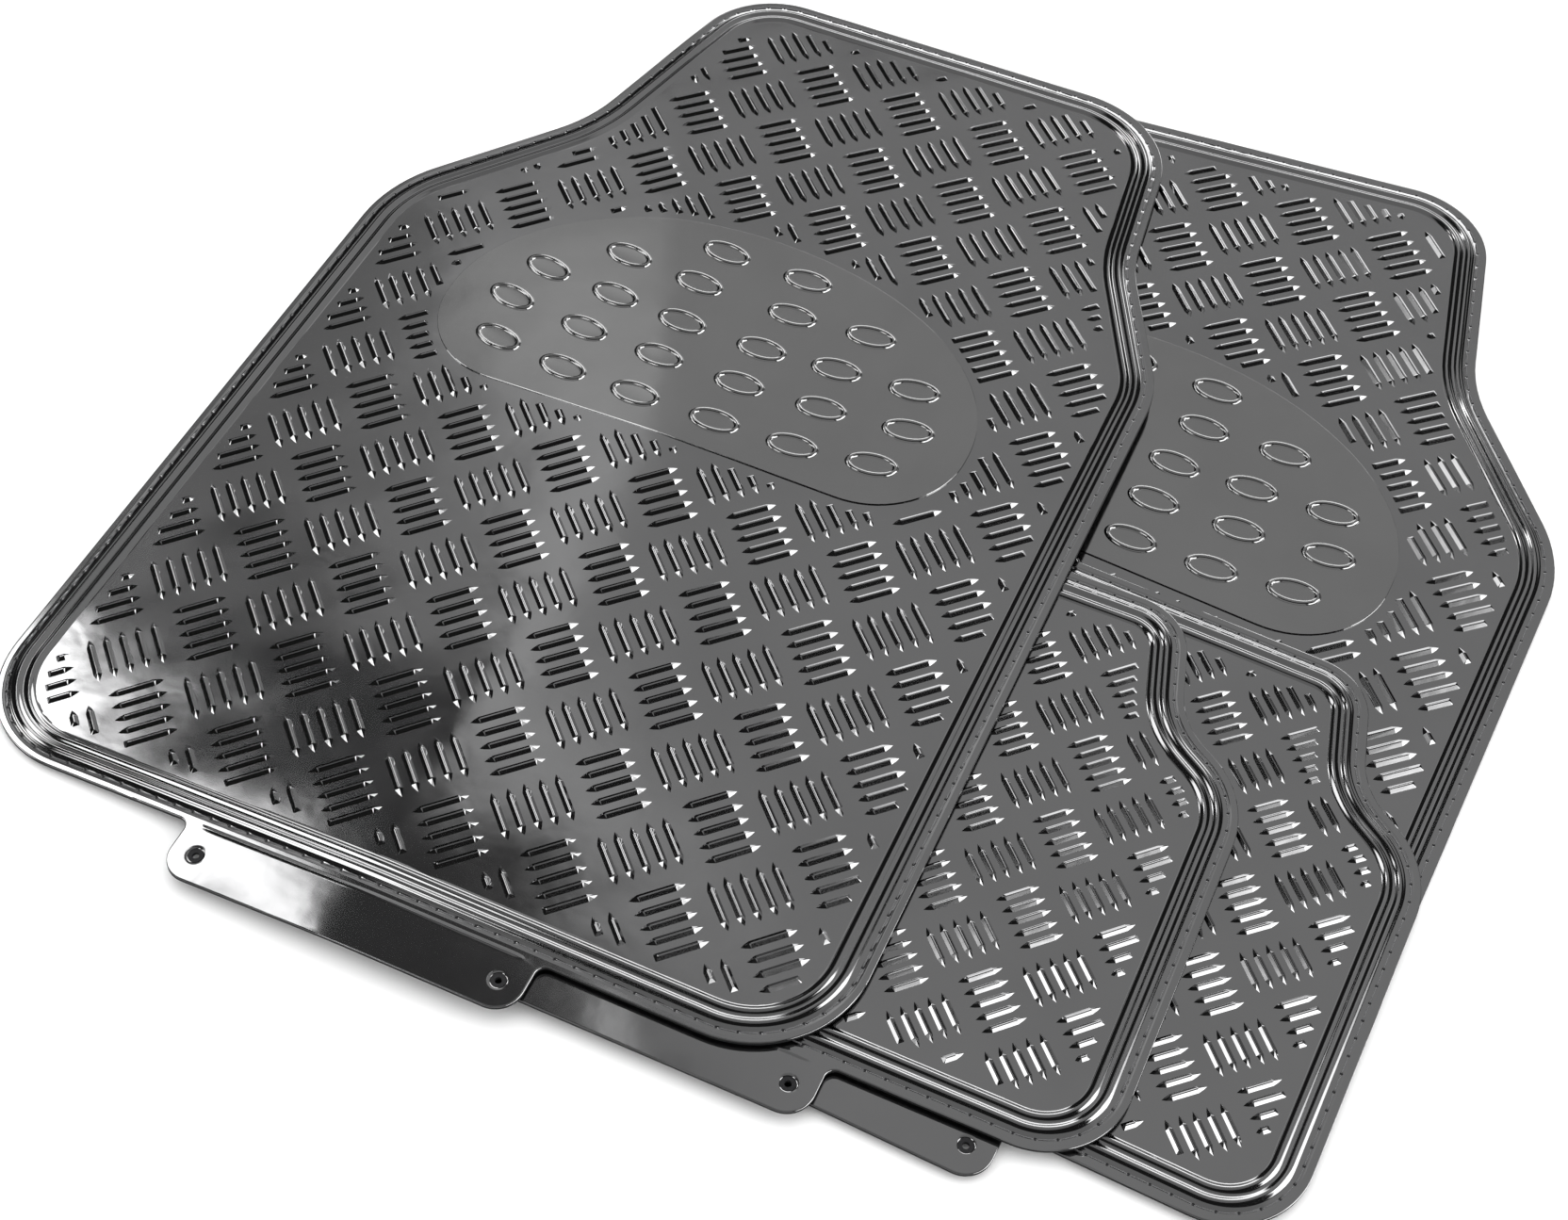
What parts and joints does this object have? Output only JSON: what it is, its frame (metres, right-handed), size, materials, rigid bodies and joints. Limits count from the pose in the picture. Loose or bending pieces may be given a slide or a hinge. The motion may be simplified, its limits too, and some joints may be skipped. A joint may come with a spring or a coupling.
{
  "type": "vehicle floor mat set",
  "caption": "Universal vehicle floor mat set, handed front mats and rear mats in embossed metallised film on anti-slip backing, each with a sewn border and a punched anchor flange.",
  "frame": {"origin": "on the floor under the middle of the stack, on the flat underside of the front right mat", "axes": "+X to the right along the front left mat's lower edge, +Y up that mat towards its narrow end, +Z up from the floor"},
  "size_m": [0.6596, 0.6883, 0.0162],
  "materials": {
    "metallised_film": "gunmetal metallised film, glossy, embossed",
    "heel_pad_film": "gunmetal metallised film, glossy, smooth",
    "anti_slip_backing": "matt black with moulded nibs",
    "felt": "needled felt",
    "seam_thread": "bonded polyester thread",
    "bobbin_thread": "bonded polyester thread"
  },
  "bodies": {
    "front_right": {"front_right_backing": "anti_slip_backing", "front_right_felt_core": "felt", "front_right_tread_sheet": "metallised_film", "front_right_needle_thread": "seam_thread", "front_right_bobbin_thread": "bobbin_thread", "front_right_heel_pad": "heel_pad_film"},
    "rear_right": {"rear_right_backing": "anti_slip_backing", "rear_right_felt_core": "felt", "rear_right_tread_sheet": "metallised_film", "rear_right_needle_thread": "seam_thread", "rear_right_bobbin_thread": "bobbin_thread"},
    "rear_left": {"rear_left_backing": "anti_slip_backing", "rear_left_felt_core": "felt", "rear_left_tread_sheet": "metallised_film", "rear_left_needle_thread": "seam_thread", "rear_left_bobbin_thread": "bobbin_thread"},
    "front_left": {"front_left_backing": "anti_slip_backing", "front_left_felt_core": "felt", "front_left_tread_sheet": "metallised_film", "front_left_needle_thread": "seam_thread", "front_left_bobbin_thread": "bobbin_thread", "front_left_heel_pad": "heel_pad_film"}
  },
  "joints": [
    {"name": "rear_right_lift", "type": "slide", "parent": "front_right", "child": "rear_right", "axis": [0, 0, 1], "range_m": [0, 0.15]},
    {"name": "rear_left_lift", "type": "slide", "parent": "rear_right", "child": "rear_left", "axis": [0, 0, 1], "range_m": [0, 0.15]},
    {"name": "front_left_lift", "type": "slide", "parent": "rear_left", "child": "front_left", "axis": [0, 0, 1], "range_m": [0, 0.15]}
  ]
}
